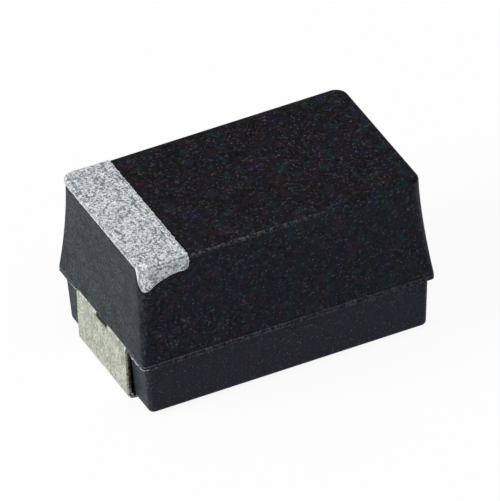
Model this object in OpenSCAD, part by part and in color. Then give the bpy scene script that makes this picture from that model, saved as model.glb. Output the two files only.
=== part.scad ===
// Moulded tantalum chip capacitor, 7.3 x 4.3 mm footprint, tall case.
// X runs along the length with the anode at -X, +Z is up, and the origin is the
// centre of the footprint on the board.

/* [Case] */
// Length of the case along its parting line, over the terminals too
case_l = 7.2; // [7.0:0.05:7.6]
// Width of the case along its parting line
case_w = 4.42; // [4.2:0.02:4.7]
// Height of the case above the board
case_h = 4.03; // [3.95:0.02:4.3]
// Height of the parting plane above the board
parting_z = 1.38; // [1.25:0.01:1.5]
// Gap between the board and the underside of the case
standoff = 0.07; // [0.03:0.01:0.1]

/* [Upper half] */
// How far each end leans in between the parting line and the top
end_inset = 0.125; // [0.08:0.005:0.18]
// How far each long side leans in between the parting line and the top
side_inset = 0.175; // [0.12:0.005:0.26]
// Hollow of the leaning faces, where 1 is flat
flare = 1.7; // [1:0.1:2.5]
// Radius of the upright corners at the top
top_corner_r = 0.3; // [0.2:0.05:0.5]
// Radius of the upright corners at the parting line
ridge_corner_r = 0.1; // [0.06:0.02:0.2]
// Radius of the edge round the top face
top_edge_r = 0.07; // [0.03:0.01:0.12]

/* [Lower half] */
// Ledge under the parting line, at each end
end_ledge = 0.1; // [0.07:0.01:0.15]
// Ledge under the parting line, on each long side
side_ledge = 0.09; // [0.05:0.01:0.2]
// How far each end leans in between the ledge and the underside
lower_end_inset = 0.07; // [0.02:0.01:0.1]
// How far each long side leans in between the ledge and the underside
lower_side_inset = 0.03; // [0.02:0.01:0.1]
// Radius of the upright corners
lower_corner_r = 0.14; // [0.12:0.02:0.3]
// Radius of the edge round the underside
base_edge_r = 0.1; // [0.04:0.01:0.12]
// Diameter of the ejector pin's mark in the underside
ejector_d = 1.2; // [0.6:0.1:1.6]
// Depth of the ejector pin's mark
ejector_depth = 0.03; // [0.02:0.01:0.05]

/* [Terminals] */
// Thickness of the lead frame sheet
sheet_t = 0.11; // [0.09:0.01:0.13]
// Width of both terminals
terminal_w = 2.5; // [2.2:0.1:2.6]
// Length of each foot, from the terminal's outer face
foot_l = 1.3; // [1.1:0.1:1.5]
// Outer radius of the bend at the board
foot_bend_r = 0.18; // [0.16:0.01:0.26]
// Outer radius of the bend where the sheet leaves the case
exit_bend_r = 0.16; // [0.14:0.01:0.18]
// Gap between the sheet and the case behind it
sheet_gap = 0.09; // [0.06:0.01:0.12]
// Gap between the foot and the case above it
foot_gap = 0.04; // [0.02:0.01:0.06]
// Gap on each side of a terminal
side_gap = 0.06; // [0.04:0.01:0.1]
// Width of the relief slot in the anode terminal's upper bend
slot_w = 0.56; // [0.4:0.02:0.8]
// Depth of the relief slot below the top of the bend
slot_drop = 0.15; // [0.1:0.01:0.16]
// Length of the relief slot that the case's resin fills
slot_reach = 0.18; // [0.1:0.02:0.2]

/* [Element] */
// Length of the sintered pellet
pellet_l = 4.7; // [4.2:0.1:4.9]
// Width of the pellet
pellet_w = 3.1; // [2.6:0.1:3.3]
// Height of the pellet
pellet_h = 2.6; // [2.2:0.1:2.8]
// Radius of the pellet's long edges
pellet_r = 0.3; // [0.2:0.05:0.4]
// Centre of the pellet along the length
pellet_x = 0.28; // [0.24:0.02:0.32]
// Height of the cathode tray's underside above the board
tray_z = 0.5; // [0.45:0.05:0.6]
// Diameter of the tantalum wire
wire_d = 0.4; // [0.3:0.05:0.5]
// Depth to which the wire is sintered into the pellet
wire_embed = 3; // [2:0.25:3.5]
// Length of the wire beyond the riser that it is welded to
wire_end = 0.12; // [0.06:0.02:0.16]
// Diameter of the washer round the wire
washer_d = 1.1; // [0.9:0.1:1.4]
// Thickness of the washer
washer_t = 0.15; // [0.1:0.05:0.2]

/* [Coats] */
// Thickness of the manganese dioxide coat
oxide_t = 0.04; // [0.03:0.01:0.06]
// Thickness of the graphite coat
graphite_t = 0.03; // [0.02:0.01:0.05]
// Thickness of the silver coat
silver_t = 0.05; // [0.03:0.01:0.07]
// Distance from the pellet's anode face to the rim of the graphite coat
graphite_back = 0.25; // [0.15:0.05:0.35]
// Distance from the pellet's anode face to the rim of the silver coat
silver_back = 0.45; // [0.4:0.05:0.6]
// Thickness of the silver adhesive
adhesive_t = 0.04; // [0.03:0.01:0.06]
// Margin of bare sheet round the silver adhesive
adhesive_margin = 0.1; // [0.05:0.05:0.3]

/* [Inner leads] */
// Width of the anode tab and its riser
riser_w = 1.2; // [1:0.1:1.6]
// Gap between the riser and the washer
riser_gap = 0.25; // [0.2:0.05:0.3]
// Height of the riser above the middle of the wire
riser_above = 0.08; // [0.04:0.02:0.12]
// Length of the full-width sheet that the case grips
grip_l = 0.12; // [0.1:0.01:0.14]
// Width of the cathode tray
tray_w = 2; // [1.6:0.1:2.2]
// Length of the cathode tray under the pellet
tray_l = 3.2; // [2.4:0.1:3.8]
// Inner radius of the bends inside the case
inner_bend_r = 0.06; // [0.04:0.01:0.08]

/* [Polarity band] */
// Distance from the end of the case to the band's inner edge
band_reach = 1.3; // [0.9:0.05:1.6]
// Thickness of the print
band_t = 0.03; // [0.02:0.01:0.05]
// How far the print wraps down over the edge of the top
band_wrap = 0.08; // [0.04:0.01:0.15]
// How far the print's tongue hangs down the long side
tongue_drop = 0.67; // [0.4:0.01:0.8]
// Distance from the end of the case to the tongue
tongue_margin = 0.15; // [0.13:0.01:0.2]

/* [Hidden] */
$fn = 48;

// Steps in each rounded corner, in each rounded edge and in the leaning faces.
CORNER_STEPS = 8;
EDGE_STEPS = 4;
LEAN_STEPS = 8;
// Reach of a cutter past the faces that it opens.
PAST = 1;

land_z = parting_z + sheet_t;       // top of the land that is as thick as the sheet
end_x = case_l / 2;                 // outer face of both terminals
recess_x = end_x - sheet_t - sheet_gap;
recess_w = terminal_w + 2 * side_gap;

coat_t = oxide_t + graphite_t + silver_t;
tray_top = tray_z + sheet_t;
pellet_z = tray_top + adhesive_t + coat_t + pellet_h / 2;
anode_face = pellet_x - pellet_l / 2;
cathode_face = pellet_x + pellet_l / 2 + coat_t;
riser_x = anode_face - washer_t - riser_gap;    // face of the riser towards the pellet
step_x = cathode_face + adhesive_t;             // face of the step towards the pellet

// ---- The case's outer form ---------------------------------------------------

// A ring of the loft: height, length, width and corner radius.
function ring(z, l, w, r) = [z, l, w, r];

// The points of one ring, as a rectangle with rounded corners.
function ring_points(q) = [
    for (corner = [0:3], k = [0:CORNER_STEPS])
        let (
            angle = 90 * corner + 90 * k / CORNER_STEPS,
            sx = (corner == 0 || corner == 3) ? 1 : -1,
            sy = corner < 2 ? 1 : -1
        )
        [
            sx * (q[1] / 2 - q[3]) + q[3] * cos(angle),
            sy * (q[2] / 2 - q[3]) + q[3] * sin(angle),
            q[0]
        ]
];

// A closed skin over rings that are listed from the bottom to the top.
module loft(rings) {
    n = 4 * (CORNER_STEPS + 1);
    levels = len(rings);
    skin = [
        for (level = [0:levels - 2], k = [0:n - 1])
            let (a = level * n + k, b = level * n + (k + 1) % n)
            each [[a, a + n, b + n], [a, b + n, b]]
    ];
    bottom = [for (k = [0:n - 1]) k];
    top = [for (k = [n - 1:-1:0]) (levels - 1) * n + k];
    polyhedron(
        points = [for (q = rings) each ring_points(q)],
        faces = concat([bottom], skin, [top])
    );
}

// Share of the full lean at a share t of the way up the upper half.
function lean_at(t) = 1 - pow(1 - t, flare);

// The upper half's rings, with the whole form grown by a coat of thickness g.
function upper_rings(g) = let (
    rise = case_h - top_edge_r - land_z,
    at = function (t, edge_inset, z) ring(
        z,
        case_l - 2 * end_inset * lean_at(t) - 2 * edge_inset + 2 * g,
        case_w - 2 * side_inset * lean_at(t) - 2 * edge_inset + 2 * g,
        ridge_corner_r + (top_corner_r - ridge_corner_r) * lean_at(t) - edge_inset + g
    )
) concat(
    [for (k = [0:LEAN_STEPS]) let (t = k / LEAN_STEPS) at(t, 0, land_z + t * rise)],
    [
        for (k = [1:EDGE_STEPS]) let (a = 90 * k / EDGE_STEPS, r = top_edge_r + g)
            at(1, r * (1 - cos(a)), land_z + rise + r * sin(a))
    ]
);

// The lower half's rings, from the underside to the ledge.
lower_l = case_l - 2 * end_ledge;
lower_w = case_w - 2 * side_ledge;
base_l = lower_l - 2 * lower_end_inset;
base_w = lower_w - 2 * lower_side_inset;
lower_rings = concat(
    [
        for (k = [EDGE_STEPS:-1:1])
            let (a = 90 * k / EDGE_STEPS, inset = base_edge_r * (1 - cos(a)))
            ring(
                standoff + base_edge_r * (1 - sin(a)),
                base_l - 2 * inset,
                base_w - 2 * inset,
                lower_corner_r - inset
            )
    ],
    [
        ring(standoff + base_edge_r, base_l, base_w, lower_corner_r),
        ring(parting_z, lower_l, lower_w, lower_corner_r)
    ]
);

// The land between the halves fills the window of the lead frame.
land_rings = [ring(parting_z, case_l, case_w, ridge_corner_r)];

module case_outside() {
    loft(concat(lower_rings, land_rings, upper_rings(0)));
}

// Room behind the terminal and above its foot, cut at the -X end from the board up.
module terminal_recess() {
    folded(recess_w) translate([-PAST, 0]) {
        square([PAST + end_x - recess_x, land_z]);
        square([PAST + foot_l + foot_gap, sheet_t + foot_gap]);
    }
}

module moulded_case() {
    color([0.1, 0.1, 0.11])
        difference() {
            case_outside();
            terminal_recess();
            mirror([1, 0, 0]) terminal_recess();
            translate([0, 0, standoff - PAST])
                cylinder(d = ejector_d, h = ejector_depth + PAST);
            anode_blank();
            cathode_sheet();
            adhesive_blank();
            dipped(0, oxide_t, oxide_t);
            dipped(graphite_back, oxide_t + graphite_t, oxide_t + graphite_t);
            dipped(silver_back, coat_t, coat_t);
            washer_shape();
            wire_shape();
        }
}

// ---- Polarity band -----------------------------------------------------------

// Side view of the tongue that hangs down one long side. Each point is a share of
// the way from the tongue's outer edge to the band's inner edge, and a share of the
// tongue's drop below the top.
tongue_edge = [
    [1, 0.38], [0.98, 0.45], [0.95, 0.5], [0.9, 0.535], [0.82, 0.53], [0.74, 0.525], [0.65, 0.54],
    [0.56, 0.57], [0.49, 0.61], [0.34, 0.705], [0.25, 0.8], [0.18, 0.9], [0.12, 0.975], [0.08, 1],
    [0.04, 0.96], [0.015, 0.87], [0, 0.7]
];

module tongue_outline() {
    w = band_reach - tongue_margin;
    polygon(concat(
        [[0, 0], [w, 0]],
        [for (p = tongue_edge) [p[0] * w, -p[1] * tongue_drop]]
    ));
}

// The print covers the top and wraps its edges, and the tongue hangs down one side.
module polarity_band() {
    color([0.82, 0.82, 0.84])
        intersection() {
            difference() {
                loft(upper_rings(band_t));
                case_outside();
            }
            union() {
                translate([-end_x, -case_w / 2, case_h - band_wrap])
                    cube([band_reach, case_w, band_wrap + PAST]);
                translate([tongue_margin - end_x, 0, case_h])
                    rotate([90, 0, 0]) linear_extrude(case_w / 2) tongue_outline();
            }
        }
}

// ---- Lead frame --------------------------------------------------------------
// A terminal's side view has x from its outer face inwards and y up from the board.

// A quarter bend of the sheet about the origin, in the quadrant that starts at turn.
module bend(r_in, turn) {
    rotate(turn)
        intersection() {
            difference() {
                circle(r_in + sheet_t);
                circle(r_in);
            }
            square(r_in + sheet_t);
        }
}

module flat(x0, x1, y) {
    translate([x0, y]) square([x1 - x0, sheet_t]);
}

module upright(x, y0, y1) {
    translate([x, y0]) square([sheet_t, y1 - y0]);
}

// Foot, bend, outer face, bend and the stub that the case grips.
module outer_profile() {
    flat(foot_bend_r, foot_l, 0);
    translate([foot_bend_r, foot_bend_r]) bend(foot_bend_r - sheet_t, 180);
    upright(0, foot_bend_r, land_z - exit_bend_r);
    translate([exit_bend_r, land_z - exit_bend_r]) bend(exit_bend_r - sheet_t, 90);
    flat(exit_bend_r, end_x - recess_x + grip_l, parting_z);
}

// The tab turns up into a riser, whose far face is at riser_x.
module anode_profile() {
    turn_x = end_x + riser_x - sheet_t - inner_bend_r;
    flat(end_x - recess_x + grip_l, turn_x, parting_z);
    translate([turn_x, land_z + inner_bend_r]) bend(inner_bend_r, 270);
    upright(turn_x + inner_bend_r, land_z + inner_bend_r, pellet_z + riser_above);
}

// The sheet turns down at the end of the pellet and in again under it.
module cathode_profile() {
    face = end_x - step_x;
    flat(end_x - recess_x + grip_l, face - sheet_t - inner_bend_r, parting_z);
    translate([face - sheet_t - inner_bend_r, parting_z - inner_bend_r]) bend(inner_bend_r, 0);
    upright(face - sheet_t, tray_top + inner_bend_r, parting_z - inner_bend_r);
    translate([face + inner_bend_r, tray_top + inner_bend_r]) bend(inner_bend_r, 180);
    flat(face + inner_bend_r, face + tray_l, tray_z);
}

// A side view becomes a sheet of width w, with its outer face at -X.
module folded(w) {
    translate([-end_x, w / 2, 0]) rotate([90, 0, 0]) linear_extrude(w) children();
}

// The slot goes from the outer bend to inside the case, where resin locks it.
module relief_slot() {
    translate([-end_x - PAST, -slot_w / 2, land_z - slot_drop])
        cube([PAST + exit_bend_r, slot_w, slot_drop + PAST]);
    translate([-end_x + exit_bend_r, -slot_w / 2, parting_z - sheet_t])
        cube([sheet_gap + slot_reach, slot_w, 3 * sheet_t]);
}

// The sheet before the wire is welded into its notch.
module anode_blank() {
    difference() {
        union() {
            folded(terminal_w) outer_profile();
            folded(riser_w) anode_profile();
        }
        relief_slot();
        translate([riser_x - sheet_t - PAST, -wire_d / 2, pellet_z])
            cube([sheet_t + 2 * PAST, wire_d, PAST]);
    }
}

module anode_sheet() {
    difference() {
        anode_blank();
        wire_shape();
    }
}

module cathode_sheet() {
    mirror([1, 0, 0]) {
        folded(terminal_w) outer_profile();
        folded(tray_w) cathode_profile();
    }
}

module anode_terminal() {
    color([0.74, 0.74, 0.68]) anode_sheet();
}

module cathode_terminal() {
    color([0.74, 0.74, 0.68]) cathode_sheet();
}

// ---- Capacitor element -------------------------------------------------------

module rounded_section(w, h, r) {
    square([w - 2 * r, h], center = true);
    square([w, h - 2 * r], center = true);
    for (sx = [-1, 1], sy = [-1, 1])
        translate([sx * (w / 2 - r), sy * (h / 2 - r)]) circle(r);
}

// A block round the pellet: starts at distance back behind the anode face, is
// grown by side on the four long faces and by end on the cathode face.
module dipped(back, side, end) {
    front = back > 0 ? back : -end;
    translate([anode_face + front, 0, pellet_z])
        rotate([90, 0, 90])
            linear_extrude(pellet_l - front + end)
                rounded_section(pellet_w + 2 * side, pellet_h + 2 * side, pellet_r + side);
}

module washer_shape() {
    translate([anode_face - washer_t, 0, pellet_z])
        rotate([0, 90, 0]) cylinder(d = washer_d, h = washer_t);
}

module wire_shape() {
    start = riser_x - sheet_t - wire_end;
    translate([start, 0, pellet_z])
        rotate([0, 90, 0]) cylinder(d = wire_d, h = anode_face + wire_embed - start);
}

module tantalum_anode() {
    color([0.34, 0.34, 0.36])
        difference() {
            dipped(0, 0, 0);
            wire_shape();
        }
}

module anode_wire() {
    color([0.5, 0.5, 0.53]) wire_shape();
}

module wire_washer() {
    color([0.93, 0.93, 0.9])
        difference() {
            washer_shape();
            wire_shape();
        }
}

module manganese_dioxide_coat() {
    color([0.16, 0.14, 0.13])
        difference() {
            dipped(0, oxide_t, oxide_t);
            dipped(0, 0, 0);
            washer_shape();
        }
}

module graphite_coat() {
    color([0.24, 0.24, 0.26])
        difference() {
            dipped(graphite_back, oxide_t + graphite_t, oxide_t + graphite_t);
            dipped(0, oxide_t, oxide_t);
        }
}

module silver_coat() {
    color([0.75, 0.75, 0.77])
        difference() {
            dipped(silver_back, coat_t, coat_t);
            dipped(graphite_back, oxide_t + graphite_t, oxide_t + graphite_t);
        }
}

// Room for the adhesive, with the pellet and part of the sheet's thickness in it.
module adhesive_blank() {
    w = tray_w - 2 * adhesive_margin;
    sunk = sheet_t / 2;
    translate([step_x - tray_l + adhesive_margin, -w / 2, tray_top - sunk])
        cube([
            tray_l - adhesive_margin + sunk,
            w,
            parting_z - inner_bend_r - adhesive_margin - tray_top + sunk
        ]);
}

// An L of adhesive fills the corner between the coated pellet and the cathode sheet.
module silver_adhesive() {
    color([0.62, 0.62, 0.63])
        difference() {
            adhesive_blank();
            dipped(silver_back, coat_t, coat_t);
            cathode_sheet();
        }
}

moulded_case();
polarity_band();
anode_terminal();
cathode_terminal();
tantalum_anode();
anode_wire();
wire_washer();
manganese_dioxide_coat();
graphite_coat();
silver_coat();
silver_adhesive();
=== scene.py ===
# %% [markdown]
# # A moulded tantalum chip capacitor, dressed for the studio
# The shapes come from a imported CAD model: a black epoxy case in two drafted halves, two
# tinned terminals folded round its ends, and a silver band printed over the anode end.
# This lesson keeps those shapes and adds what shows up close: the grain of the resin with
# its sparkling filler, a print with real thickness, a hair of moulding flash, matte tin,
# and a soft studio round it all.

# %% Load the frame
import math

import bmesh
import bpy
from mathutils import Matrix, Vector, noise
from mathutils.bvhtree import BVHTree


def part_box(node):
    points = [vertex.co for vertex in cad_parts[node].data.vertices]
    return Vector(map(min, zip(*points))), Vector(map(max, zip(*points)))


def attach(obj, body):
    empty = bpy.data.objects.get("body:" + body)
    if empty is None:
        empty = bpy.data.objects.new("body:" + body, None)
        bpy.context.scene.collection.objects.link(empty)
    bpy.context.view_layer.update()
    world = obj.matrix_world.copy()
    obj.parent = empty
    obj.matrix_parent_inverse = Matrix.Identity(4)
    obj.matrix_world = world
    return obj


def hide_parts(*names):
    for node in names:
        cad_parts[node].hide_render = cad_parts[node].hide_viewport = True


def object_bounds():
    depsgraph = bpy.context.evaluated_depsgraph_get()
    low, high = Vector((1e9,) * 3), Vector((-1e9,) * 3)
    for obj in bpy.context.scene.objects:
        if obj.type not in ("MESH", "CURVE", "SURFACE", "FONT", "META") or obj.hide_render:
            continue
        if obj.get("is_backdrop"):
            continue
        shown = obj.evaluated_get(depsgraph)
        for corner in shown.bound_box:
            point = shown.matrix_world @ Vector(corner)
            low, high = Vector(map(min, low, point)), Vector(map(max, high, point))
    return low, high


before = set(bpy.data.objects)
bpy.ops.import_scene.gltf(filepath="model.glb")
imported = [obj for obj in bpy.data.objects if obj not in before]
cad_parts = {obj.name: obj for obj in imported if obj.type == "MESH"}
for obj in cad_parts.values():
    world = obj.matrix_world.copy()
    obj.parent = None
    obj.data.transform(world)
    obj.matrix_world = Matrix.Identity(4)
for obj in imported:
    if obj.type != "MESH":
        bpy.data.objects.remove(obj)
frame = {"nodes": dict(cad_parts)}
nodes = frame["nodes"]
cad_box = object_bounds()
scene = bpy.context.scene
scene.view_settings.view_transform = "Standard"
MM = 0.001
print("nodes:", ", ".join(sorted(nodes)))


def add_object(name, data):
    """Puts a mesh, a lamp or a camera into the scene."""
    made = bpy.data.objects.new(name, data)
    scene.collection.objects.link(made)
    return made


# %% [markdown]
# ## The camera
# A part of 7 mm is best seen from far away through a long lens, so that its edges stay
# nearly parallel. The camera is placed by the direction from which it looks at the part,
# and leans a little to one side.

# %% Place the camera
AZIMUTH, ELEVATION, LEAN = (math.radians(a) for a in (-24.28, 36.38, -2.86))
LENS, SENSOR = 1077.8, 36
DISTANCE = 333.31 * MM
AIM = Vector((0.094, -0.042, 2.008)) * MM
NEAREST, FARTHEST = 0.01, 10


def direction(azimuth, elevation):
    """The way from the object to a place seen at these angles; azimuth 0 is the front."""
    flat = math.cos(elevation)
    return Vector((math.sin(azimuth) * flat, -math.cos(azimuth) * flat, math.sin(elevation)))


to_camera = direction(AZIMUTH, ELEVATION)
level = Vector((math.cos(AZIMUTH), math.sin(AZIMUTH), 0))
upright = to_camera.cross(level)
right = math.cos(LEAN) * level + math.sin(LEAN) * upright
turned = Matrix((right, to_camera.cross(right), to_camera)).transposed().to_4x4()

camera_data = bpy.data.cameras.new("camera")
camera_data.lens, camera_data.sensor_width = LENS, SENSOR
camera_data.clip_start, camera_data.clip_end = NEAREST, FARTHEST
camera = add_object("camera", camera_data)
camera.matrix_world = Matrix.Translation(AIM + to_camera * DISTANCE) @ turned
scene.camera = camera
print("camera at", [round(v, 4) for v in camera.matrix_world.translation], "m")

# %% [markdown]
# ## Shader maths as plain sums
# A surface that varies is a small calculation: a noise times a mask, plus a little more
# along the edges. Written as Python expressions it stays readable. `Signal` wraps one
# socket, and each sum or product on it adds a Math node. Every other node comes from
# `Nodes.node`, which takes the node's type, its settings and its inputs.

# %% Signals
class Signal:
    """A number, colour or vector that runs through a node tree."""

    def __init__(self, nodes, socket):
        self.nodes, self.socket = nodes, socket

    def math(self, operation, *terms):
        terms = dict(enumerate(terms))
        return self.nodes.node("ShaderNodeMath", {"operation": operation}, terms)

    def __add__(self, other):
        return self.math("ADD", self, other)

    def __sub__(self, other):
        return self.math("SUBTRACT", self, other)

    def __rsub__(self, other):
        return self.math("SUBTRACT", other, self)

    def __mul__(self, other):
        return self.math("MULTIPLY", self, other)

    def __abs__(self):
        return self.math("ABSOLUTE", self)

    __radd__, __rmul__ = __add__, __mul__

    def rise(self, start, end):
        """0 up to start and 1 beyond end, with a smooth rise between them."""
        settings = {"interpolation_type": "SMOOTHSTEP"}
        limits = {"Value": self, "From Min": start, "From Max": end}
        return self.nodes.node("ShaderNodeMapRange", settings, limits)

    def near(self, value, reach):
        """1 at a value, falling to 0 at reach from it."""
        return 1 - abs(self - value).rise(0, reach)


# %% Nodes
class Nodes:
    """A node tree that is built by expressions."""

    def __init__(self, tree):
        self.tree = tree
        tree.nodes.clear()

    def node(self, kind, settings=None, inputs=None, output=0):
        """Adds a node. What comes back is one of its outputs, if it has any."""
        made = self.tree.nodes.new(kind)
        for name, value in (settings or {}).items():
            setattr(made, name, value)
        for key, value in (inputs or {}).items():
            self.join(self.find(made.inputs, key), value)
        return Signal(self, self.find(made.outputs, output)) if made.outputs else None

    def find(self, sockets, key):
        """A socket by its place or name, among those that the settings leave in use."""
        used = [s for s in sockets if s.enabled]
        return used[key] if isinstance(key, int) else next(s for s in used if s.name == key)

    def join(self, socket, value):
        if isinstance(value, Signal):
            self.tree.links.new(value.socket, socket)
        else:
            socket.default_value = value

    def vector(self, operation, first, second):
        return self.node("ShaderNodeVectorMath", {"operation": operation}, {0: first, 1: second})

    def axes(self, vector):
        """The three numbers of a vector."""
        split = self.node("ShaderNodeSeparateXYZ", inputs={0: vector}).socket.node
        return [Signal(self, socket) for socket in split.outputs]

    def mix(self, share, first, second):
        """The first colour where share is 0, the second where it is 1."""
        inputs = {"Factor": share, "A": first, "B": second}
        return self.node("ShaderNodeMix", {"data_type": "RGBA"}, inputs)

    def shows(self, surface, kind="ShaderNodeOutputMaterial"):
        self.node(kind, inputs={"Surface": surface})


def paint(red, green, blue):
    """A colour as it is read off a chart, 0 to 255, made linear."""
    def linear(value):
        value /= 255
        return value / 12.92 if value <= 0.04045 else ((value + 0.055) / 1.055) ** 2.4
    return (linear(red), linear(green), linear(blue), 1.0)


# %% Finishes
class Finish(Nodes):
    """One surface material, with its noises measured in millimetres."""

    def __init__(self, name, **constants):
        self.material = bpy.data.materials.new(name)
        self.material.use_nodes = True
        super().__init__(self.material.node_tree)
        surface = self.node("ShaderNodeBsdfPrincipled", output="BSDF")
        self.shader = surface.socket.node
        self.varies(**constants)
        self.shows(surface)
        point = self.node("ShaderNodeTexCoord", output="Object")
        self.place = self.vector("MULTIPLY", point, (1 / MM,) * 3)

    def varies(self, **values):
        """Sets or wires sockets of the surface shader."""
        for name, value in values.items():
            self.join(self.shader.inputs[name.replace("_", " ")], value)

    def stretched(self, x, y, z):
        """The place in other units for each axis: a large unit draws patterns out along it."""
        return self.vector("MULTIPLY", self.place, (1 / x, 1 / y, 1 / z))

    def shifted(self, x, y, z):
        """The place moved, so that two noises of one size don't coincide."""
        return self.vector("ADD", self.place, (x, y, z))

    def facing(self):
        return self.axes(self.node("ShaderNodeNewGeometry", output="Normal"))

    def lumps(self, size, detail=2, rough=0.5, place=None):
        """Soft lumps about size millimetres across."""
        inputs = {
            "Vector": place or self.place, "Scale": 1 / size,
            "Detail": detail, "Roughness": rough,
        }
        return self.node("ShaderNodeTexNoise", inputs=inputs, output="Fac")

    def cells(self, size, output):
        """Cells about size millimetres apart: the distance to a middle, or its colour."""
        inputs = {"Vector": self.place, "Scale": 1 / size}
        return self.node("ShaderNodeTexVoronoi", inputs=inputs, output=output)

    def dots(self, spacing, radius):
        """Scattered dots: 1 in the middle of each, 0 between them."""
        reach = radius / spacing
        return 1 - self.cells(spacing, "Distance").rise(reach / 2, reach)

    def relief(self, height, depth):
        """A bump that is depth millimetres high where height is 1."""
        inputs = {"Height": height, "Distance": depth * MM, "Strength": 1.0}
        return self.node("ShaderNodeBump", inputs=inputs, output="Normal")


def dress(name, finish):
    """Gives a CAD node its finish."""
    nodes[name].data.materials.clear()
    nodes[name].data.materials.append(finish.material)


# %% [markdown]
# ## Black moulding compound
# The case is epoxy that holds about four fifths of fused silica powder. Up close it is
# not one black: soft patches lean to teal, red or violet, single grains of filler glint,
# and the ends have a mottled grain. Light is painted in as well: the ends are painted a
# paler grey for the lamp at the left and their sheen, the sides and the top get a cooler
# and a warmer pale, the lower half is painted paler for the light from the floor, and the
# crease over the parting land gets painted shade. It could be one noise over the whole
# case, but the ends, the parting land and the top edge each have their own mask: the ends
# for their grain and painted light, the land and the top edge for wear with painted
# highlights along it. A low specular level gives the deep, dull black of such a part, and
# the sheen at a glancing angle still comes through on the faces that turn away.

# %% Where things lie on the case
case_low, case_high = (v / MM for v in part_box("moulded_case"))
band_low, band_high = (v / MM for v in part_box("polarity_band"))
tin_low, tin_high = (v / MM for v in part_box("anode_terminal"))
PARTING_Z, LAND_Z = 1.38, 1.49
TOP_EDGE_R = 0.07
SIDE_TOP_Y = -2.035
TOP_LINE_LOW, TOP_LINE_HIGH = 3.9, 3.96
SLOT_HALF_WIDTH, SLOT_LOW_Z, SLOT_BACK_X = 0.3, 1.2, 3.2
print("case", [round(v, 3) for v in (*case_low, *case_high)], "mm")

# %% Colours and patterns of the resin
FINE_SIZE, PATCH_SIZE, SPECK_SIZE, BROKEN_SIZE = 0.07, 0.3, 0.075, 0.05
END_MOTTLE, SLOT_BURR = (0.055, 0.08, 0.06), (0.06, 0.15, 0.05)
GLINT_SPACING, GLINT_RADIUS = 0.08, 0.014
BLACK, CREASE_SHADE = paint(3, 3, 5), paint(3, 3, 4)
PALE_SIDE_COOL_LIGHT, PALE_TOP_WARM_LIGHT = paint(27, 28, 42), paint(28, 24, 29)
TINTS = {0.30: paint(14, 60, 56), 0.36: paint(58, 24, 34), 0.44: paint(30, 26, 62)}
TINT_SHARE, TINT_SHIFT = 0.3, 40
LOWER_HALF_FLOOR_LIGHT, SPECK, GLINT = paint(52, 56, 68), paint(72, 73, 84), paint(104, 108, 116)
END_DARK, END_LIT_GREY, END_CLOUD = paint(8, 12, 16), paint(69, 77, 84), paint(20, 27, 31)
LAND_WEAR_AND_HIGHLIGHT, EDGE_WEAR_AND_HIGHLIGHT = paint(116, 118, 126), paint(140, 140, 146)
BURR_DARK, BURR_PALE = paint(5, 4, 3), paint(178, 174, 156)


def resin_colour(finish, grain, on_top):
    """Near black, paler in the grain, with soft spots of a tint and pale specks, and painted light: a
    cooler pale on the sides, a warmer one on top, and a paler lower half.
    """
    z = finish.axes(finish.place)[2]
    # Painted light: the pale of the grain is cooler on the sides and warmer on top, for the colour of the
    # light that falls on each.
    pale = finish.mix(on_top, PALE_SIDE_COOL_LIGHT, PALE_TOP_WARM_LIGHT)
    colour = finish.mix(grain.rise(0.4, 0.6), BLACK, pale)
    for size, tint in TINTS.items():
        place = finish.shifted(*(size * TINT_SHIFT,) * 3)
        spots = finish.lumps(size, detail=1, rough=0.5, place=place).rise(0.5, 0.8)
        colour = finish.mix(spots * TINT_SHARE, colour, tint)
    # Painted light: the lower half is painted paler for the light that the white floor throws up onto its
    # faces.
    lower = 1 - z.rise(PARTING_Z - 0.02, PARTING_Z)
    colour = finish.mix(lower * 0.3, colour, LOWER_HALF_FLOOR_LIGHT)
    specks = finish.lumps(SPECK_SIZE, detail=2, rough=0.7, place=finish.shifted(7, 3, 5)).rise(0.58, 0.68)
    return finish.mix(specks * 0.6, colour, SPECK)


def lit_end_grey(finish, mottle):
    """The grey painted on the ends for the lamp at the left and their sheen: mottled, with darker clouds.
    """
    grey = finish.mix(mottle.rise(0.36, 0.64), END_DARK, END_LIT_GREY)
    cloud = finish.lumps(0.6, detail=2, rough=0.6, place=finish.stretched(1, 1, 1.3)).rise(0.36, 0.64)
    worn = finish.lumps(0.2, detail=2, rough=0.6, place=finish.stretched(1, 1.6, 1)).rise(0.38, 0.62)
    return finish.mix((1 - 0.5 * cloud - 0.5 * worn) * 0.75, grey, END_CLOUD)


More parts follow.
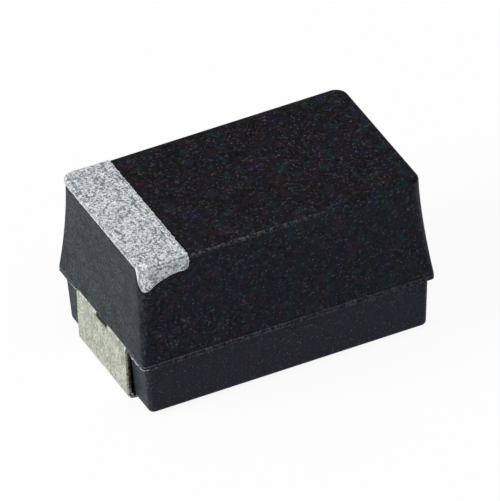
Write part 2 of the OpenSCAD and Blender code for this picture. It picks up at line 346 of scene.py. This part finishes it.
# %% Worn edges with painted shade and highlights, and burrs
def edge_wear_shade_and_highlights(finish, colour, fine, on_end):
    """The scuffed parting land with burrs along its edges that also carry painted highlights, painted
    shade in the crease over it, and a broken line along the top edge that is partly wear and partly a
    painted highlight.
    """
    x, y, z = finish.axes(finish.place)
    broken = finish.lumps(BROKEN_SIZE).rise(0.42, 0.6)
    land = z.rise(PARTING_Z - 0.02, PARTING_Z + 0.01) * (1 - z.rise(LAND_Z, LAND_Z + 0.025))
    # Partly painted highlight: the pale broken lines along both edges of the land stand for burrs and for
    # the light they catch.
    land_burrs_and_highlights = (z.near(LAND_Z, 0.02) + z.near(PARTING_Z, 0.02)) * (0.4 + 0.6 * broken)
    fading = 1 - 0.4 * x.rise(-2, 3)
    land_wear_and_highlights = (0.38 * land_burrs_and_highlights + 0.28 * land * fine.rise(0.48, 0.6)) * fading
    # Painted shade: a dark line in the crease just above the parting land.
    crease = z.near(LAND_Z + 0.035, 0.02) * (1 - on_end)
    # Partly painted highlight: the broken pale line along the top front edge is wear and the light that
    # the edge catches; it fades towards +x, as the land's wear does.
    along_top = y.near(SIDE_TOP_Y + 0.02, 0.035) * z.rise(TOP_LINE_LOW, TOP_LINE_HIGH)
    top_edge_wear_and_highlight = along_top * (1 - x.rise(-1.6, 2.4) * 0.85)
    colour = finish.mix(crease * 0.7, colour, CREASE_SHADE)
    colour = finish.mix(land_wear_and_highlights, colour, LAND_WEAR_AND_HIGHLIGHT)
    return finish.mix(broken * top_edge_wear_and_highlight * 0.36, colour, EDGE_WEAR_AND_HIGHLIGHT)


def slot_burrs(finish, colour):
    """Smears of metal and dark gaps in the notch behind the slot of each terminal."""
    x, y, z = finish.axes(finish.place)
    across = 1 - abs(y).rise(SLOT_HALF_WIDTH - 0.01, SLOT_HALF_WIDTH + 0.01)
    upward = z.rise(SLOT_LOW_Z, SLOT_LOW_Z + 0.05) * (1 - z.rise(LAND_Z - 0.01, LAND_Z))
    not_outside = 1 - abs(x).rise(case_high.x - 0.02, case_high.x - 0.01)
    inward = abs(x).rise(SLOT_BACK_X, SLOT_BACK_X + 0.05) * not_outside
    burrs = finish.lumps(1, detail=2, rough=0.6, place=finish.stretched(*SLOT_BURR)).rise(0.47, 0.53)
    return finish.mix(across * upward * inward, colour, finish.mix(burrs, BURR_DARK, BURR_PALE))


# %% The moulding compound
def moulding_compound():
    finish = Finish("moulding_compound", Specular_IOR_Level=0.08)
    y = finish.axes(finish.place)[1]
    nx, _, nz = finish.facing()
    on_end, on_top = abs(nx).rise(0.2, 1.0), nz.rise(0.4, 0.9)
    fine = finish.lumps(FINE_SIZE, detail=4, rough=0.8)
    mottle = finish.lumps(1, detail=3, rough=0.8, place=finish.stretched(*END_MOTTLE))
    grain = fine + on_end * (mottle - fine)
    patches = finish.lumps(PATCH_SIZE, detail=2, rough=0.6)
    groups = finish.lumps(PATCH_SIZE, detail=1).rise(0.48, 0.56)
    glints = finish.dots(GLINT_SPACING, GLINT_RADIUS) * groups

    colour = resin_colour(finish, grain, on_top)
    # Painted light: the faces at the ends are painted a paler grey for the lamp at the left and the
    # glancing sheen on them, more so away from the front corner; the mottled grain in that grey is the
    # resin's own.
    from_corner = y.rise(case_low.y, case_low.y + 1.1)
    colour = finish.mix(on_end * (0.62 + 0.3 * from_corner), colour, lit_end_grey(finish, mottle))
    colour = edge_wear_shade_and_highlights(finish, colour, fine, on_end)
    colour = slot_burrs(finish, colour)
    finish.varies(
        Base_Color=finish.mix(glints, colour, GLINT),
        Roughness=0.34 + 0.12 * patches + 0.16 * grain,
        Normal=finish.relief(0.7 * grain + 0.3 * patches, depth=0.010),
    )
    return finish


resin = moulding_compound()
dress("moulded_case", resin)
print("resin:", len(resin.tree.nodes), "nodes")

# %% [markdown]
# ## Matte tin
# The terminals are metal sheet with a matte tin plate: a metal, but a dull one, cloudy
# and finely pitted. Where the sheet was sheared to width the edge is torn and darker,
# with bare metal between smears of tin, so the way a face looks decides its finish. Next
# to the case that edge is painted darker still, as shade in the gap between sheet and case.

# %% Tinned sheet
TIN_DARK, TIN_PALE, TIN_CREASE = paint(144, 147, 134), paint(216, 219, 206), paint(140, 138, 122)
TORN_DARK, TORN_PALE, GAP_SHADE_ON_EDGE = paint(26, 24, 19), paint(206, 202, 182), paint(16, 14, 13)
CREASE_Z = 1.3
CLOUD_SIZE, TEAR_SIZE, PITS = 0.3, 0.05, (0.06, 0.09, 0.055)


def tinned_sheet():
    finish = Finish("matte_tin", Metallic=1.0)
    x, _, z = finish.axes(finish.place)
    sheared = abs(finish.facing()[1]).rise(0.5, 0.8)
    outer_x = abs(tin_low.x)
    outer_half = abs(x).rise(outer_x - 0.08, outer_x - 0.03)
    clouds = finish.lumps(CLOUD_SIZE, detail=3, rough=0.6)
    pits = finish.lumps(1, detail=4, rough=0.85, place=finish.stretched(*PITS))
    plate = finish.mix((0.3 * clouds + 0.8 * pits).rise(0.45, 0.66), TIN_DARK, TIN_PALE)
    crease = z.near(CREASE_Z, 0.03) * pits.rise(0.4, 0.6)
    plate = finish.mix(crease * 0.5, plate, TIN_CREASE)
    rough = finish.lumps(TEAR_SIZE, detail=2, rough=0.7) + 0.1 * outer_half
    torn = finish.mix(rough.rise(0.46, 0.6), TORN_DARK, TORN_PALE)
    # Painted shade: the sheared edge is darkened next to the case, for the shade in the gap between the
    # sheet and the case.
    torn = finish.mix((1 - outer_half) * z.rise(0.2, 0.3) * 0.75, torn, GAP_SHADE_ON_EDGE)
    finish.varies(
        Base_Color=finish.mix(sheared, plate, torn),
        Roughness=0.42 + 0.2 * pits + 0.2 * sheared,
        Normal=finish.relief(pits + 0.5 * clouds, depth=0.006),
    )
    return finish


tin = tinned_sheet()
dress("anode_terminal", tin)
dress("cathode_terminal", tin)
print("tin:", len(tin.tree.nodes), "nodes")

# %% [markdown]
# ## The polarity band
# The band that marks the anode end is a silver print. It could be a change of colour on
# the case, but real print has a thickness and catches light along its rim. So it is built
# as a thin skin. Columns of points stand side by side along the part. Each column runs
# over the top from the back to the front and then down the long side, where the print
# hangs in a ragged tongue. Each point is dropped onto the case and lifted by the local
# thickness of the print.

# %% Outline of the print
PRINT_T = 0.03
CORNER_R = 0.3
end_x = band_low.x + PRINT_T
inner_x = band_high.x
side_y = band_high.y - PRINT_T
top_z = case_high.z
tongue_z = band_low.z
EDGE_Z = top_z - TOP_EDGE_R
# The tongue's lower edge: share of the way from the end to the inner edge, and share of
# the full drop there.
TONGUE = [
    (0, 0.12), (0.003, 0.22), (0.009, 0.5), (0.02, 0.74), (0.035, 0.88), (0.06, 0.96),
    (0.09, 1), (0.12, 0.975), (0.18, 0.9), (0.25, 0.8), (0.34, 0.705), (0.49, 0.61),
    (0.56, 0.57), (0.65, 0.54), (0.74, 0.525), (0.82, 0.53), (0.9, 0.535), (0.95, 0.5),
    (0.98, 0.45), (1, 0.38),
]
EDGE_WOBBLES = ((0.012, 0.06, 5), (0.010, 0.03, 8))  # height, size and seed


def ragged(place, size, seed):
    """A smooth wobble from -1 to 1 along a line."""
    return noise.noise(Vector((place / size, seed, 0.37)))


def tongue_bottom(x):
    """Height of the lower edge of the tongue at x."""
    share = min(max((x - end_x) / (inner_x - end_x), 0), 1)
    for (a, low), (b, high) in zip(TONGUE, TONGUE[1:]):
        if share <= b:
            drop = low + (high - low) * (share - a) / (b - a)
            break
    edge = top_z - drop * (top_z - tongue_z)
    for high, size, seed in EDGE_WOBBLES:
        edge += high * ragged(x, size, seed)
    return edge


def half_width(x):
    """Half the case's width at x, on the level where the top edge starts to round."""
    into_corner = max(CORNER_R - (x - end_x), 0)
    return side_y - CORNER_R + math.sqrt(max(CORNER_R ** 2 - into_corner ** 2, 0))


def inset(x, y):
    """Distance from a point of the top to the case's outline."""
    u, v = CORNER_R - (x - end_x), abs(y) - (side_y - CORNER_R)
    if u > 0 and v > 0:
        return CORNER_R - math.hypot(u, v)
    return min(x - end_x, side_y - abs(y))


def top_height(x, y):
    """Height of the case at a point of the top."""
    into_edge = TOP_EDGE_R - min(max(inset(x, y), 0), TOP_EDGE_R)
    return EDGE_Z + math.sqrt(TOP_EDGE_R ** 2 - into_edge ** 2)


print("tongue hangs to", round(tongue_z, 3), "mm")

# %% Columns of the print
STEP = 0.022
EDGE_STEPS, DROP_STEPS = 8, 26
SIDE_CLEAR = 0.03
ROUND = [TOP_EDGE_R * (1 - math.cos(math.pi / 2 * k / EDGE_STEPS)) for k in range(EDGE_STEPS + 1)]


def spread(start, end, step):
    """Even steps from start to end, both included."""
    count = max(round(abs(end - start) / step), 1)
    return [start + (end - start) * k / count for k in range(count + 1)]


columns = [end_x + d for d in ROUND] + spread(end_x + TOP_EDGE_R, inner_x, STEP)[1:]
top_shares = spread(-1, 1, STEP / side_y)


def column_points(x):
    """The points of one column: over the top from back to front, then down the side."""
    wide = half_width(x)
    rounds = [wide - d for d in ROUND]
    flat = [(TOP_EDGE_R - wide) * s for s in top_shares[1:-1]]
    ys = rounds + flat + [-y for y in reversed(rounds)]
    top = [(x, y, top_height(x, y)) for y in ys]
    drop = (tongue_bottom(x) - EDGE_Z) / DROP_STEPS
    side = [(x, -wide - SIDE_CLEAR, EDGE_Z + drop * (k + 1)) for k in range(DROP_STEPS)]
    return top, side


print("print:", len(columns), "columns from", round(end_x, 3), "to", round(inner_x, 3), "mm")

# %% Thickness and borders of the print
FLAT_SHARE, BORDER_SHARE = 0.72, 0.6
RIM_WIDE, RIM_HIGH = 0.05, 0.009
SWELL, SWELL_REACH = 0.035, 0.3
SUNK = 0.002
FRAY, FRAY_COLUMNS = 0.028, 3
PRINT_GRAIN = ((16, 0.006), (34, 0.003))  # waves per millimetre and height

case_mesh = bmesh.new()
case_mesh.from_mesh(nodes["moulded_case"].data)
case_tree = BVHTree.FromBMesh(case_mesh)
case_mesh.free()


def on_case(x, y, z):
    """The nearest point of the case and the direction that it faces there, in mm."""
    place, normal, _, _ = case_tree.find_nearest(Vector((x, y, z)) * MM)
    return place / MM, normal


def frayed(number, on_top, x, y, z):
    """A point moved a little where the print's long edges fray."""
    from_edge = number - (len(columns) - 1) + FRAY_COLUMNS
    if from_edge > 0:
        x += FRAY * ragged(y + z, 0.055, 3) * from_edge / FRAY_COLUMNS
    if number == 0 and on_top:
        z -= 0.012 + 0.012 * ragged(y, 0.06, 4)
    return x, y, z


def to_border(on_top, x, y, z):
    """How far a point lies from the border of the print."""
    if on_top:
        return min(inset(x, y) + 0.02, inner_x - x)
    return min(z - tongue_bottom(x), inner_x - x, x - end_x)


def thickness(x, y, place, normal, border, rim):
    """The print's thickness: grainy, raised at its rim and swollen at the back corner."""
    grain = sum(noise.noise(place * waves) * high for waves, high in PRINT_GRAIN)
    lift = PRINT_T * FLAT_SHARE + RIM_HIGH * math.sin(math.pi * min(rim * 1.3, 1)) + grain
    if border <= 0.001:
        lift *= BORDER_SHARE
    from_corner = math.hypot(x - end_x, y - side_y) / SWELL_REACH
    return lift + SWELL * math.exp(-from_corner ** 2) * max(normal.z, 0)


# %% Skin of the print
def to_mesh(shape, name):
    """Closes the work on a bmesh and hands it over as a mesh."""
    bmesh.ops.recalc_face_normals(shape, faces=shape.faces)
    mesh = bpy.data.meshes.new(name)
    shape.to_mesh(mesh)
    shape.free()
    return mesh


def build_print():
    skin = bmesh.new()
    rim_layer = skin.verts.layers.float.new("rim")
    walls = []
    for number, x in enumerate(columns):
        top, side = column_points(x)
        walls.append([])
        for row, point in enumerate(top + side):
            on_top = row < len(top)
            point = frayed(number, on_top, *point)
            place, normal = on_case(*point)
            border = to_border(on_top, *point)
            rim = max(1 - max(border, 0) / RIM_WIDE, 0)
            lift = thickness(*point[:2], place, normal, border, rim)
            pair = [skin.verts.new((place + normal * out) * MM) for out in (lift, -SUNK)]
            for vert in pair:
                vert[rim_layer] = rim
            walls[-1].append(pair)
    for a, b in zip(walls, walls[1:]):
        for k in range(len(a) - 1):
            skin.faces.new((a[k][0], a[k + 1][0], b[k + 1][0], b[k][0]))
            skin.faces.new((a[k][1], b[k][1], b[k + 1][1], a[k + 1][1]))
    under = dict(pair for wall in walls for pair in wall)
    for edge in [e for e in skin.edges if e.is_boundary]:
        v, w = edge.verts
        if v in under and w in under:
            skin.faces.new((v, w, under[w], under[v]))
    return to_mesh(skin, "silver_print")


print_mesh = build_print()
print_mesh.shade_smooth()
print_mesh.set_sharp_from_angle(angle=math.radians(50))
silver_band = add_object("silver_band", print_mesh)
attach(silver_band, "root")
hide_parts("polarity_band")
print("print:", len(print_mesh.polygons), "faces")

# %% [markdown]
# ## Silver print
# The print is full of metal flakes. Some catch the light and some don't, so it looks like
# bright sand. Real flakes could be scattered as tiny plates, but at this size a noise and
# the random tones of small cells do the same work. The print was laid down in passes along
# the band, which leaves faint lines beside its long edges, and each border ends in a
# brighter rim.

# %% Colours of the print
PRINT_DARK, PRINT_PALE, PRINT_RIM = paint(100, 108, 116), paint(228, 236, 240), paint(244, 248, 250)
FLAKE_GLINT, SCRATCH, DRIFT = paint(255, 255, 255), paint(60, 66, 74), paint(134, 142, 160)
SIDE_SHADE, RIM_GROOVE_SHADE, THIN_PRINT = paint(104, 112, 128), paint(76, 80, 86), paint(104, 84, 76)
FLAKE_SIZE, CELL_SIZE, SPARKLE_SIZE, DRIFT_SIZE = 0.058, 0.042, 0.06, 0.4
PASS_SIZE, PASSES = 0.05, (1.3, 12, 2)


def bright_sand(finish, sand):
    """Flakes between dark and pale, with white ones among them."""
    cell_tones = finish.axes(finish.cells(CELL_SIZE, "Color"))[0]
    bright = (0.6 * cell_tones + 0.95 * sand).rise(0.5, 1.05)
    return finish.mix(bright, PRINT_DARK, PRINT_PALE)


def print_borders(finish, colour, flakes, sparkle):
    """Painted shade in a groove and a bright rim at the borders, and thin brown print over sharp edges.
    """
    x, y, _ = finish.axes(finish.place)
    nz = finish.facing()[2]
    rim = finish.node("ShaderNodeAttribute", {"attribute_name": "rim"}, output="Fac")
    # Painted shade: a dark broken line in the groove just inside the raised rim.
    groove = rim.near(0.22, 0.2) * flakes.rise(0.4, 0.5)
    colour = finish.mix(groove * 0.6, colour, RIM_GROOVE_SHADE)
    bright_rim = rim.rise(0.45, 0.75) * (0.4 + 0.6 * sparkle.rise(0.42, 0.54))
    colour = finish.mix(bright_rim, colour, PRINT_RIM)
    front_edge = nz.near(0.6, 0.42) * (1 - y.rise(SIDE_TOP_Y, SIDE_TOP_Y + 0.2))
    end_edge = nz.near(0.4, 0.45) * (1 - x.rise(end_x + 0.02, end_x + 0.09))
    thin = (front_edge + end_edge) * flakes.rise(0.42, 0.52)
    return finish.mix(thin * 0.75, colour, THIN_PRINT)


# %% The print's finish
def silver_print():
    finish = Finish("silver_print", Metallic=0.15)
    x = finish.axes(finish.place)[0]
    nz = finish.facing()[2]
    flakes = finish.lumps(FLAKE_SIZE, detail=4, rough=0.8)
    sparkle = finish.lumps(SPARKLE_SIZE, detail=4, rough=0.8, place=finish.shifted(4, 9, 2))
    drifts = finish.lumps(DRIFT_SIZE)
    passes = finish.lumps(PASS_SIZE, detail=2, rough=0.6, place=finish.stretched(*PASSES))
    beside = 0.25 + x.near(inner_x - 0.12, 0.22) + 0.6 * x.near(end_x + 0.16, 0.16)
    sand = flakes + (0.15 + beside * 0.35) * (passes - flakes)
    scratches = (1 - passes.rise(0.38, 0.46)) * beside

    colour = bright_sand(finish, sand)
    # Painted glints: the flakes that catch the light are painted near white.
    colour = finish.mix(sparkle.rise(0.52, 0.59), colour, FLAKE_GLINT)
    colour = finish.mix(scratches * 0.7, colour, SCRATCH)
    colour = finish.mix((1 - drifts.rise(0.3, 0.6)) * 0.18, colour, DRIFT)
    colour = finish.mix((1 - nz.rise(0.1, 0.5)) * 0.2, colour, SIDE_SHADE)
    finish.varies(
        Base_Color=print_borders(finish, colour, flakes, sparkle),
        Roughness=0.35 + 0.3 * flakes,
        Normal=finish.relief(sand, depth=0.012),
    )
    return finish


silver = silver_print()
print_mesh.materials.append(silver.material)
dress("polarity_band", silver)
print("silver:", len(silver.tree.nodes), "nodes")

# %% [markdown]
# ## Moulding flash
# Where the two halves of the mould meet, a hair-thin fin of resin is squeezed out. Most of
# it breaks off when the parts are tumbled, and what is left at the anode end wraps the
# corner as a fine pale line. A line painted on the case would vanish in profile, so it is
# a ribbon of triangular section that follows the edge of the parting land, with a ragged
# outer edge.

# %% The way of the fin
FIN_T, FIN_REACH = 0.024, 0.026
FIN_RISE, FIN_SUNK = 0.035, 0.01
FIN_STEP, FIN_TAPER = 0.03, 5
BACK_SHARE = 0.6
LAND_CORNER_R = 0.1


def front_corner():
    """Places and outward ways along the land, from the terminal round the front corner."""
    end, side = case_low.x, case_low.y
    for y in spread(tin_low.y - 0.1, side + LAND_CORNER_R, FIN_STEP):
        yield Vector((end, y, 0)), Vector((-1, 0, 0))
    for angle in spread(0, math.pi / 2, math.pi / 16):
        way = Vector((-math.cos(angle), -math.sin(angle), 0))
        yield Vector((end + LAND_CORNER_R, side + LAND_CORNER_R, 0)) + way * LAND_CORNER_R, way
    for x in spread(end + LAND_CORNER_R, end + 0.18, FIN_STEP):
        yield Vector((x, side, 0)), Vector((0, -1, 0))


def back_stretch():
    """Places and outward ways behind the terminal."""
    for y in spread(case_high.y - 0.15, tin_high.y - 0.05, FIN_STEP):
        yield Vector((case_low.x, y, 0)), Vector((-1, 0, 0))


# %% The fin
def add_fin(fin, path, share):
    """One stretch of the fin, as rings of three points that taper towards both ends."""
    rings = []
    for number, (place, way) in enumerate(path):
        from_tip = min(number, len(path) - 1 - number) / FIN_TAPER
        reach = share * FIN_REACH * (0.8 + 1.1 * ragged(number, 2.3, 2)) * min(from_tip, 1)
        middle = PARTING_Z + FIN_RISE + 0.012 * ragged(number, 9, 6)
        half = share * FIN_T / 2
        section = ((-FIN_SUNK, half), (reach, 0), (-FIN_SUNK, -half))
        points = [place + way * out + Vector((0, 0, middle + up)) for out, up in section]
        rings.append([fin.verts.new(point * MM) for point in points])
    for a, b in zip(rings, rings[1:]):
        for k in range(3):
            fin.faces.new((a[k], a[(k + 1) % 3], b[(k + 1) % 3], b[k]))
    fin.faces.new(rings[0])
    fin.faces.new(rings[-1])


def build_flash():
    fin = bmesh.new()
    add_fin(fin, list(front_corner()), 1)
    add_fin(fin, list(back_stretch()), BACK_SHARE)
    return to_mesh(fin, "moulding_flash")


def thin_resin():
    """Resin so thin that light gets into it: pale, and darker where it is whole."""
    finish = Finish("thin_resin", Specular_IOR_Level=0.2)
    broken = finish.lumps(0.06, detail=2).rise(0.4, 0.6)
    finish.varies(
        Base_Color=finish.mix(broken, paint(58, 62, 66), paint(182, 186, 190)),
        Roughness=0.4 + 0.2 * finish.lumps(0.04),
    )
    return finish


flash_mesh = build_flash()
flash_mesh.materials.append(thin_resin().material)
flash = add_object("moulding_flash", flash_mesh)
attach(flash, "root")
print("flash:", len(flash_mesh.polygons), "faces")

# %% [markdown]
# ## Inside the case
# None of the inner pieces shows, but each has its own finish, so that the part also looks
# right when it is cut open: sintered tantalum and its wire, a white washer, the black
# oxide, graphite, silver paint and silver glue. All are grained in the same way, so one
# function makes them from a table.

# %% Finishes of the inner pieces
def grained(name, light, dark, size, rough, metallic):
    """A finish between two colours, with a grain about size millimetres across."""
    finish = Finish(name, Metallic=metallic)
    grain = finish.lumps(size, detail=3, rough=0.6)
    finish.varies(
        Base_Color=finish.mix(grain, dark, light),
        Roughness=rough + 0.15 * grain,
        Normal=finish.relief(grain, 0.1 * size),
    )
    return finish


# Node: finish, light and dark colour, grain size, roughness, metallic.
INNER = {
    "tantalum_anode": ("sintered_tantalum", (120, 120, 124), (60, 60, 64), 0.02, 0.6, 0.8),
    "anode_wire": ("tantalum_wire", (150, 150, 156), (110, 110, 116), 0.05, 0.3, 1.0),
    "wire_washer": ("white_washer", (240, 240, 235), (222, 222, 214), 0.05, 0.4, 0.0),
    "manganese_dioxide_coat": ("manganese_dioxide", (52, 46, 42), (28, 25, 23), 0.03, 0.7, 0.0),
    "graphite_coat": ("graphite", (70, 70, 74), (40, 40, 43), 0.03, 0.5, 0.0),
    "silver_coat": ("silver_paint", (214, 214, 216), (176, 176, 180), 0.03, 0.45, 0.7),
    "silver_adhesive": ("silver_glue", (186, 186, 186), (140, 140, 140), 0.03, 0.5, 0.6),
}
for name, (finish_name, light, dark, *numbers) in INNER.items():
    dress(name, grained(finish_name, paint(*light), paint(*dark), *numbers))
print("inner finishes:", len(INNER))

# %% [markdown]
# ## Floor and surroundings
# The part stands on a white floor in white surroundings. More light could whiten them, but
# it would wash out the part as well. So what the camera and shiny surfaces see of them is
# plain white, and the floor keeps a faint shadow of the part. Soft light from the
# surroundings is kept low, so that the lamps shape the part, and the ceiling is dark in
# reflections, which keeps the faces that mirror it black.

# %% Floor
SHADOW_SHARE = 0.08
FLOOR_HALF, FLOOR_DROP = 0.4, 0.01 * MM
FLOOR_PAINT, WHITE = (0.9, 0.9, 0.9, 1), (1, 1, 1, 1)


def rays_seen(tree, *kinds):
    """1 for rays of these kinds, else 0."""
    outputs = tree.node("ShaderNodeLightPath").socket.node.outputs
    found = [Signal(tree, outputs[f"Is {kind} Ray"]) for kind in kinds]
    return sum(found, 0).rise(0, 1)


def floor_material():
    material = bpy.data.materials.new("pale_floor")
    material.use_nodes = True
    tree = Nodes(material.node_tree)
    matte = tree.node("ShaderNodeBsdfDiffuse", inputs={"Color": FLOOR_PAINT})
    white = tree.node("ShaderNodeEmission", inputs={"Color": WHITE})
    share = rays_seen(tree, "Camera", "Glossy", "Transmission") * (1 - SHADOW_SHARE)
    tree.shows(tree.node("ShaderNodeMixShader", inputs={0: share, 1: matte, 2: white}))
    return material


corners = [(x * FLOOR_HALF, y * FLOOR_HALF, 0) for x, y in ((-1, -1), (1, -1), (1, 1), (-1, 1))]
floor_mesh = bpy.data.meshes.new("floor")
floor_mesh.from_pydata(corners, [], [(0, 1, 2, 3)])
floor_mesh.materials.append(floor_material())
floor = add_object("floor", floor_mesh)
floor.location.z = -FLOOR_DROP
floor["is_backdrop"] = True
print("floor:", 2 * FLOOR_HALF, "m wide")

# %% Surroundings
SOFT_LIGHT = 0.3
CEILING, CEILING_STARTS, CEILING_FULL = 0.15, 0.05, 0.5

world = bpy.data.worlds.new("studio")
scene.world = world
world.use_nodes = True
air = Nodes(world.node_tree)
height = air.axes(air.node("ShaderNodeTexCoord", output="Generated"))[2]
walls = 1 - height.rise(CEILING_STARTS, CEILING_FULL) * (1 - CEILING)
in_picture = rays_seen(air, "Camera")
mirrored = rays_seen(air, "Glossy", "Transmission")
strength = in_picture + mirrored * walls + (1 - in_picture) * (1 - mirrored) * SOFT_LIGHT
light = air.node("ShaderNodeBackground", inputs={"Color": WHITE, "Strength": strength})
air.shows(light, "ShaderNodeOutputWorld")
print("world:", len(air.tree.nodes), "nodes")

# %% Lamps
def soft_lamp(name, azimuth, elevation, distance, size, power):
    """A round lamp that looks at the part; angles in degrees, sizes in metres."""
    way = direction(math.radians(azimuth), math.radians(elevation))
    data = bpy.data.lights.new(name, "AREA")
    data.shape, data.size, data.energy = "DISK", size, power
    lamp = add_object(name, data)
    lamp.location = way * distance
    lamp.rotation_euler = way.to_track_quat("Z", "Y").to_euler()
    print(name, "gives", power, "W")


soft_lamp("left_window", azimuth=-95, elevation=30, distance=0.45, size=0.3, power=1.7)
soft_lamp("overhead", azimuth=0, elevation=80, distance=0.5, size=0.4, power=0.8)

# %% [markdown]
# ## Sizes, and the end
# The dressed part must stay as large as the CAD model, apart from the thin print and
# flash.

# %% Write the sizes
sizes = {"cad": cad_box, "visual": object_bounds()}
sizes = {name: [[float(v) for v in corner] for corner in box] for name, box in sizes.items()}
print("sizes", sizes)
